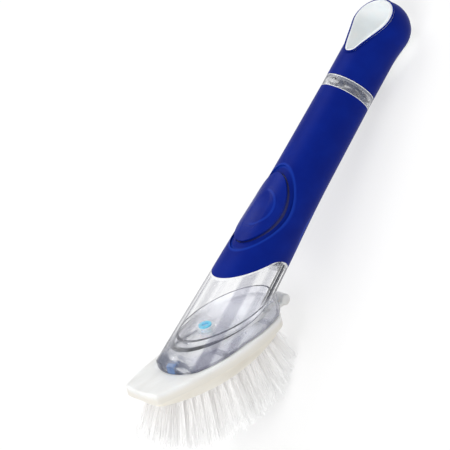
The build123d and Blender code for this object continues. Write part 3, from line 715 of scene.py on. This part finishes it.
band_rim_highlight = (tube_along - BAND_LENGTH / 2).maths("ABSOLUTE").between(RIM_FROM, RIM_TO)
band_rim_highlight = band_rim_highlight * (1.0 - (tube_along * -1.0).between(0.0, BAND_BLEND))
off_grip = tube_along * -1.0 - GRIP_KNEE - tube_up.maths("MAXIMUM", 0.0) * GRIP_EDGE_SLOPE
grip_rim_highlight = 1.0 - off_grip.between(GRIP_RIM_FROM, GRIP_RIM_TO)
grip_rim_highlight = grip_rim_highlight * (1.0 - tube_along.between(GRIP_RIM_END, GRIP_RIM_FADE))
tube_rim_highlight = grip_rim_highlight.maths("MAXIMUM", band_rim_highlight)

see_through(
    tube_finish,
    TUBE_EDGE_HAZE,
    (
        (tube_lightening_haze, CLEAR_LILAC, 0.4),
        (tube_reflections, CLEAR_REFLECTION_GREY, 0.25),
        (band_pale_reflection, CLEAR_RIM, 0.4),
        (band_dark_reflection_and_shadow, CLEAR_PAINTED_SHADE, 0.4),
        (tube_toe_shade, CLEAR_PAINTED_SHADE, 0.6),
        (tube_spot_reflection, CLEAR_SPOT_REFLECTION, 0.6),
        (tube_line, CLEAR_LINE, 1.0),
        (tube_rim_highlight, CLEAR_RIM, 0.6),
    ),
)
tube_finish.feed("Roughness", CLEAR_ROUGHNESS + tube_waves * CLEAR_ROUGHNESS)
tube_finish.bump(tube_waves, WAVE_DEPTH, 0.25)
tube_finish.dress(frame["nodes"]["reservoir_tube"])

# Floor plate: an oval of the same styrene, welded into the foot, with a grey mottle of painted
# reflections. Its rim shows as a dark line, it is brighter round the valve, and its rear half is
# painted milky and glows, a painted light for the light from behind.
FLOOR_TOP = 0.0125
FLOOR_RIM_FROM = FLOOR_TOP - 0.0005
FLOOR_RIM_TO = FLOOR_TOP - 0.0003
BORE_RIM_FROM = -0.0009
BORE_RIM_TO = -0.0006
FLOOR_EDGE_HAZE = 0.2
FLOOR_WAVES = 110.0
VALVE_STATION = 0.00165
BLOOM_CORE = 0.0042
BLOOM_REACH = 0.0062
MILK_FROM = -0.004
MILK_TO = 0.012
FLOOR_PAINTED_GLOW = 0.5
GLOW_FROM = 0.006
GLOW_TO = 0.03

floor_finish = Finish(
    "clear_styrene_floor", IOR=1.45, Transmission_Weight=0.3, Emission_Strength=FLOOR_PAINTED_GLOW
)
floor_place = floor_finish.place(*HEAD_FRAME)
floor_along, floor_across, floor_up = floor_finish.parts(floor_place)
floor_waves = floor_finish.noise(floor_place, FLOOR_WAVES, 3.0)
floor_rim = off_bore(floor_finish).between(BORE_RIM_FROM, BORE_RIM_TO)
floor_rim = floor_rim * floor_up.between(FLOOR_RIM_FROM, FLOOR_RIM_TO)
off_valve = ((floor_along - VALVE_STATION) ** 2.0 + floor_across**2.0) ** 0.5
floor_bloom = 1.0 - off_valve.between(BLOOM_CORE, BLOOM_REACH)
floor_milky_light = floor_along.between(MILK_FROM, MILK_TO) * (1.0 - floor_rim)
floor_body = see_through(
    floor_finish,
    FLOOR_EDGE_HAZE,
    (
        (floor_waves.between(0.4, 0.8) * 0.5, CLEAR_REFLECTION_GREY, 0.0),
        (floor_rim, CLEAR_LINE, 0.9),
        (floor_bloom, CLEAR_RIM, 0.6),
        (floor_milky_light, None, 0.4),
    ),
)
# Painted light: the rear of the floor plate glows in its own colour.
floor_painted_glow = floor_along.between(GLOW_FROM, GLOW_TO)
floor_finish.feed("Emission Color", floor_finish.mix(floor_painted_glow, DARK, floor_body))
floor_finish.feed("Roughness", CLEAR_ROUGHNESS + floor_waves * CLEAR_ROUGHNESS)
floor_finish.bump(floor_waves, WAVE_DEPTH, 0.25)
floor_finish.dress(frame["nodes"]["reservoir_floor"])

# Seals: a moulded rubber ring between the floor plate and its ledge, which shows through the
# plastic as a dark line, bolder towards the toe and the near side, and the cap's gasket.
RUBBER = linear(7, 11, 22)
RUBBER_DUST = linear(22, 27, 42)
SEAL_INNER = linear(206, 209, 220)
SEAL_TOP = 0.0098
SEAL_TOP_BLEND = 0.0002
SEAL_TAPER = 0.0007
SEAL_TAPER_FROM = -0.012
SEAL_TAPER_TO = 0.02
BOLD_LENGTH = 0.026
BOLD_WIDTH = 0.012
BOLD_LOSS = 0.4
INNER_HAZE = 0.1
DUST_WAVES = 500.0
DUST_DEPTH = 0.00003


def seal_rubber(name, edge_only):
    """Rubber with a dusty bloom, all of it dark or its outer edge alone."""
    finish = Finish(name, IOR=1.5)
    place = finish.place(*HEAD_FRAME)
    dust = finish.noise(place, DUST_WAVES, 4.0)
    rubber = finish.mix(dust.between(0.4, 0.8), RUBBER, RUBBER_DUST)
    if edge_only:
        along, across, height = finish.parts(place)
        bold = 1.0 - along.between(0.0, BOLD_LENGTH) * BOLD_LOSS
        bold = bold * (1.0 - across.between(0.0, BOLD_WIDTH) * BOLD_LOSS)
        edge = off_bore(finish).between(BORE_RIM_FROM, BORE_RIM_TO) * bold
        tapered = height + along.between(SEAL_TAPER_FROM, SEAL_TAPER_TO) * SEAL_TAPER
        edge = edge * (1.0 - tapered.between(SEAL_TOP, SEAL_TOP + SEAL_TOP_BLEND))
        rubber = finish.mix(edge, SEAL_INNER, rubber)
        finish.feed("Alpha", INNER_HAZE + edge * (1.0 - INNER_HAZE))
    finish.feed("Base Color", rubber)
    finish.feed("Roughness", 0.5 + dust * 0.2)
    finish.bump(dust, DUST_DEPTH, 0.5)
    return finish


seal_rubber("clear_seal_with_dark_edge", True).dress(frame["nodes"]["floor_seal"])
seal_rubber("dark_seal_rubber", False).dress(frame["nodes"]["cap_seal"])

# Silicone pieces: the cyan slit valve in the floor plate, paler on its stem below it, and the
# milky membrane behind the button and ring round the soap port. Each has a painted glow in its own
# colour, which lightens the shade in the valve's dish.
CYAN = linear(104, 206, 236)
CYAN_SHADE = linear(70, 178, 214)
CYAN_STEM = linear(206, 228, 238)
MILKY = linear(226, 228, 232)
MILKY_SHADE = linear(204, 206, 214)
SILICONE_PAINTED_GLOW = 0.14
SILICONE_BLOOM_WAVES = 700.0
SILICONE_BLOOM_DEPTH = 0.00002
STEM_BLEND = 0.001


def silicone(name, bright, shade, below=None):
    """Soft silicone with a dusty bloom, a painted glow of its own colour, and a paler stem below
    the floor if it has one.
    """
    finish = Finish(
        name,
        IOR=1.42,
        Subsurface_Weight=0.3,
        Subsurface_Scale=0.002,
        Emission_Strength=SILICONE_PAINTED_GLOW,
    )
    place = finish.place(*HEAD_FRAME)
    bloom = finish.noise(place, SILICONE_BLOOM_WAVES, 4.0)
    colour = finish.mix(bloom.between(0.3, 0.8), bright, shade)
    if below:
        height = finish.parts(place)[2]
        colour = finish.mix(height.between(FLOOR_TOP - STEM_BLEND, FLOOR_TOP), below, colour)
    finish.feed("Base Color", colour)
    finish.feed("Emission Color", colour)
    finish.feed("Roughness", 0.35 + bloom * 0.2)
    finish.bump(bloom, SILICONE_BLOOM_DEPTH, 0.4)
    return finish


silicone("cyan_silicone_rubber", CYAN, CYAN_SHADE, CYAN_STEM).dress(
    frame["nodes"]["dispensing_valve"]
)
silicone("milky_silicone_rubber", MILKY, MILKY_SHADE).dress(
    frame["nodes"]["pump_diaphragm"], frame["nodes"]["outlet_seal"]
)

# Tufts: nylon filaments folded over an anchor and driven into the lower shell, in rows that
# follow its outline. They fan out at the bow and the stern, their ends a little uneven, and
# those that meet the counter are cut off level with it.
PLAN_HALF_LENGTH = 0.052
PLAN_HALF_WIDTH = 0.0223
PLAN_END_HALF_WIDTH = 0.0132
PLAN_SAGITTA = PLAN_HALF_WIDTH - PLAN_END_HALF_WIDTH
PLAN_RADIUS = (PLAN_HALF_LENGTH**2 + PLAN_SAGITTA**2) / (2 * PLAN_SAGITTA)
STERN_STATION = 0.049
STERN_RADIUS = 0.0155
BLOCK_INSET = 0.0042
TUFT_RIM = 0.0015
BACKING_RIM = 0.0008
KEEL_RADIUS = 0.228
KEEL_DEPTH = 0.0145
KEEL_STATION = -0.004
PORT_RADIUS = 0.0023
TUFTS = 17
TUFT_PITCH = 0.0052
TUFT_MARGIN = 0.0018
ROW_HALF_WIDTH = 0.0142
ROW_SHARES = (-1.0, -0.5, 0.0, 0.5, 1.0)
FIRST_TUFT = VALVE_STATION - TUFT_PITCH * (TUFTS - 1) / 2
LAST_TUFT = VALVE_STATION + TUFT_PITCH * (TUFTS - 1) / 2
RISE = np.cross(REARWARD, ACROSS)


def head_points(along, across, height):
    """Places counted from the deck's middle: rearward, across, and up out of the deck."""
    along, across, height = np.broadcast_arrays(along, across, height)
    return (
        DECK
        + along[..., None] * REARWARD
        + across[..., None] * ACROSS
        + height[..., None] * RISE
    )


def row_width(along):
    """Half width of the outer rows: the middle width less the bow of the side arc."""
    return ROW_HALF_WIDTH - (PLAN_RADIUS - np.sqrt(PLAN_RADIUS**2 - along**2))


def stern_limit(along, inset):
    """Half width of the head's outline drawn in by inset: its side arc, and aft of the middle
    of the stern's rounded corner that corner's own arc."""
    reach = PLAN_RADIUS - STERN_RADIUS
    corner = STERN_STATION - STERN_RADIUS
    corner_half = np.sqrt(reach**2 - corner**2) - PLAN_RADIUS + PLAN_HALF_WIDTH
    side = np.sqrt((PLAN_RADIUS - inset) ** 2 - along**2) - PLAN_RADIUS + PLAN_HALF_WIDTH
    run = np.maximum(along - corner, 0)
    rounded = corner_half + np.sqrt(np.maximum((STERN_RADIUS - inset) ** 2 - run**2, 0))
    return np.where(along > corner, np.minimum(side, rounded), side)


def keel_height(along):
    """Underside of the lower shell: an arc of a great circle, lowest a little aft."""
    return -(KEEL_DEPTH - KEEL_RADIUS + np.sqrt(KEEL_RADIUS**2 - (along - KEEL_STATION) ** 2))


# Backing strip of a row: the band of anchored nylon that shows between its tufts.
STRIP_EDGES = (-1.25, -0.75, -0.25, 0.25, 0.75, 1.25)
STRIP_THICKNESS = 0.002
STRIP_STEPS = 41


def strip_mesh(low_share, high_share):
    """A closed strip: a grid along the keel arc and across two shares, and its sides.

    Each cross-section is a loop of four corners, its outer face low and its inner face
    higher by the thickness, and the end loops are closed by one face each."""
    along = np.linspace(FIRST_TUFT - TUFT_MARGIN, LAST_TUFT + TUFT_MARGIN, STRIP_STEPS)
    shares = np.array([low_share, high_share, high_share, low_share])
    lift = np.array([0.0, 0.0, STRIP_THICKNESS, STRIP_THICKNESS])
    limit = stern_limit(along, BLOCK_INSET + BACKING_RIM)[:, None]
    across = np.clip(shares[None, :] * row_width(along)[:, None], -limit, limit)
    points = head_points(along[:, None], across, keel_height(along)[:, None] + lift)
    ring = np.arange(4)
    beside = np.roll(ring, -1)
    start = 4 * np.arange(len(along) - 1)[:, None]
    quads = np.stack([start + ring, start + beside, start + 4 + beside, start + 4 + ring], axis=-1)
    ends = np.array([ring[::-1], 4 * (len(along) - 1) + ring])
    return points.reshape(-1, 3), np.vstack([quads.reshape(-1, 4), ends])


# Filaments of a tuft: crimped nylon threads of unlike lengths, splayed from the tuft's hole.
FILAMENTS = 60
FILAMENT_RADIUS = 0.0002
FILAMENT_RINGS = np.array([0.0, 0.35, 0.7, 1.0])
BRISTLE_LENGTH = 0.0318
LENGTH_SPREAD = 0.022
FAN_STATION = 0.006
BOW_LEAN = np.radians(30.0)
BOW_LEAN_GROWTH = 1.3
BOW_SHORTER = 0.2
BOW_SHORTER_GROWTH = 6
STERN_LEAN = np.radians(28.0)
STERN_LEAN_GROWTH = 1.8
STERN_SHORTER = 0.48
STERN_SHORTER_GROWTH = 2
SIDE_LEAN = np.radians(9.0)
SPIRAL_TURN = 2.39996
TUFT_TURN = 1.7
TUFT_ROOT_RADIUS = 0.0016
TUFT_TIP_RADIUS = 0.0034
ROOT_SINK = 0.0006
TIP_STRAY = 0.0009
TIP_HALF_WIDTH = 0.0229
SIDEWAYS_BOW = 0.0007
CUT_HEIGHT = 0.0002
CUT_SHARE = 0.995
SMALL = 1e-6
filament_rng = np.random.default_rng(11)


def tuft_stations(row_share):
    """Stations of a row's tufts: an even pitch, less those that would meet the soap port or
    stand outside the stern of the lower shell."""
    stations = FIRST_TUFT + TUFT_PITCH * np.arange(TUFTS)
    off_middle = np.abs(row_share * row_width(stations))
    at_port = (np.abs(stations - VALVE_STATION) < PORT_RADIUS) & (off_middle < PORT_RADIUS)
    past_stern = stations > STERN_STATION - BLOCK_INSET - TUFT_RIM
    past_side = off_middle > stern_limit(stations, BLOCK_INSET + TUFT_RIM)
    return stations[~at_port & ~((stations > 0) & (past_stern | past_side))]


def filament_lines(stations, row_share):
    """Middle lines of a row's filaments, four places each, and the way of each tuft.

    A line runs from its root, on a sunflower spiral inside the tuft's hole, along the tuft's
    way for the tuft's length. It bows sideways by the bow times 4 s (1 - s), where s is the
    share of the way. Lengths and bows vary a little, and no tip passes the counter."""
    front = np.clip((FAN_STATION - stations) / (FAN_STATION - FIRST_TUFT), 0, 1)
    rear = np.clip((stations - FAN_STATION) / (LAST_TUFT - FAN_STATION), 0, 1)
    lean = BOW_LEAN * front**BOW_LEAN_GROWTH - STERN_LEAN * rear**STERN_LEAN_GROWTH
    splay = SIDE_LEAN * row_share
    way = (
        -(np.sin(lean) * np.cos(splay))[:, None] * REARWARD
        + np.sin(splay) * ACROSS
        - (np.cos(lean) * np.cos(splay))[:, None] * RISE
    )
    length = BRISTLE_LENGTH * (1 - BOW_SHORTER * front**BOW_SHORTER_GROWTH)
    length = length * (1 - STERN_SHORTER * rear**STERN_SHORTER_GROWTH)
    count = np.arange(FILAMENTS)
    swirl = SPIRAL_TURN * count[None, :] + TUFT_TURN * np.arange(len(stations))[:, None]
    swirl = swirl + row_share
    away = np.cos(swirl)[..., None] * REARWARD + np.sin(swirl)[..., None] * ACROSS
    away = away * np.sqrt((count + 0.5) / FILAMENTS)[None, :, None]
    hole = head_points(stations, row_share * row_width(stations), keel_height(stations))
    root = hole[:, None, :] + away * TUFT_ROOT_RADIUS - way[:, None, :] * ROOT_SINK
    uneven = 1 + filament_rng.normal(0, LENGTH_SPREAD, swirl.shape)
    stray = filament_rng.normal(0, TIP_STRAY, (*swirl.shape, 3))
    run = way[:, None, :] * (length[:, None] * uneven)[..., None]
    tip = root + run + away * (TUFT_TIP_RADIUS - TUFT_ROOT_RADIUS) + stray
    root_height, tip_height = root[..., 2], tip[..., 2]
    cut = np.clip(root_height / np.maximum(root_height - tip_height, SMALL), 0, 1)
    cut = np.where(tip_height < CUT_HEIGHT, cut * CUT_SHARE, 1.0)
    tip = root + (tip - root) * cut[..., None]
    tip[..., 1] = np.clip(tip[..., 1], -TIP_HALF_WIDTH, TIP_HALF_WIDTH)
    bow = filament_rng.normal(0, SIDEWAYS_BOW, (*swirl.shape, 3))
    share = FILAMENT_RINGS[:, None]
    line = root[:, :, None, :] + (tip - root)[:, :, None, :] * share
    line = line + bow[:, :, None, :] * (share * (1 - share) * 4)
    line[..., 2] = np.maximum(line[..., 2], 0.0)
    return line, way


def tube_faces(tubes, rings):
    """Corner numbers of square tubes: a quad between each ring and the next at each of the
    four sides, and one quad to close each end."""
    start = np.arange(tubes)[:, None, None] * rings * 4
    here = start + np.arange(rings - 1)[None, :, None] * 4
    around = np.arange(4)
    beside = np.roll(around, -1)
    sides = np.stack([here + around, here + beside, here + 4 + beside, here + 4 + around], axis=-1)
    tip_ends = start[:, 0] + (rings - 1) * 4 + around
    root_ends = start[:, 0] + around[::-1]
    return np.vstack([sides.reshape(-1, 4), tip_ends, root_ends])


def filament_mesh(row_share):
    """All filaments of one row, with the share of the way and the tone of each point.

    A filament is a square carried along its middle line. Half its tone is its own, and half
    is that of its tuft."""
    stations = tuft_stations(row_share)
    line, way = filament_lines(stations, row_share)
    side = np.cross(way, ACROSS)
    side /= np.linalg.norm(side, axis=-1, keepdims=True)
    flat = np.cross(way, side)
    corner = np.radians([45.0, 135.0, 225.0, 315.0])[:, None]
    rim = (np.cos(corner) * side[:, None, :] + np.sin(corner) * flat[:, None, :]) * FILAMENT_RADIUS
    points = line[:, :, :, None, :] + rim[:, None, None, :, :]
    tufts, filaments, rings, corners = points.shape[:4]
    faces = tube_faces(tufts * filaments, rings)
    along = np.broadcast_to(FILAMENT_RINGS[:, None], points.shape[:4]).reshape(-1)
    own = filament_rng.uniform(0, 1, (tufts, filaments))
    shared = filament_rng.uniform(0, 1, (tufts, 1))
    tone = np.repeat((0.5 * own + 0.5 * shared).reshape(-1), rings * corners)
    return points.reshape(-1, 3), faces, along, tone


# Nylon: translucent ivory, each filament and each tuft with its own tone. It is greyer at the
# roots, a painted shade deep in the tufts, white at the tips, and has a painted glow in its own
# colour.
NYLON_ROOT_SHADE = linear(222, 219, 217)
NYLON_ROOT = linear(253, 252, 251)
NYLON_TIP_SHADE = linear(234, 234, 234)
NYLON_TIP = linear(255, 255, 255)
NYLON_PAINTED_GLOW = 0.14
NYLON_GRAIN_WAVES = 5000.0
NYLON_GRAIN_DEPTH = 0.00001

nylon_finish = Finish(
    "white_nylon",
    IOR=1.53,
    Subsurface_Weight=0.9,
    Subsurface_Radius=(1.0, 0.98, 0.96),
    Subsurface_Scale=0.003,
    Emission_Strength=NYLON_PAINTED_GLOW,
)
nylon_along = nylon_finish.node("ShaderNodeAttribute", {"attribute_name": "along"}, output="Fac")
nylon_tone = nylon_finish.node("ShaderNodeAttribute", {"attribute_name": "tone"}, output="Fac")
nylon_shaded_root = nylon_finish.mix(nylon_tone, NYLON_ROOT_SHADE, NYLON_ROOT)
nylon_tip = nylon_finish.mix(nylon_tone, NYLON_TIP_SHADE, NYLON_TIP)
# Painted shade: darker towards the roots. The same colour feeds a painted glow.
nylon_colour = nylon_finish.mix(nylon_along, nylon_shaded_root, nylon_tip)
nylon_finish.feed("Base Color", nylon_colour)
nylon_finish.feed("Emission Color", nylon_colour)
nylon_finish.feed("Roughness", 0.3 + nylon_tone * 0.15)
nylon_grain = nylon_finish.noise(nylon_finish.place(*HEAD_FRAME), NYLON_GRAIN_WAVES, 2.0)
nylon_finish.bump(nylon_grain, NYLON_GRAIN_DEPTH, 0.3)

for row, row_share in enumerate(ROW_SHARES):
    strip_points, strip_quads = strip_mesh(STRIP_EDGES[row], STRIP_EDGES[row + 1])
    tuft_points, tuft_quads, tuft_along, tuft_tone = filament_mesh(row_share)
    tufts = surface(
        f"tufts_{row + 1}",
        np.vstack([strip_points, tuft_points]),
        np.vstack([strip_quads, tuft_quads + len(strip_points)]),
        "head",
        {
            "along": np.concatenate([np.zeros(len(strip_points)), tuft_along]),
            "tone": np.concatenate([np.full(len(strip_points), 0.5), tuft_tone]),
        },
        smooth=False,
    )
    nylon_finish.dress(tufts)
    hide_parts(f"bristle_row_{row + 1}")
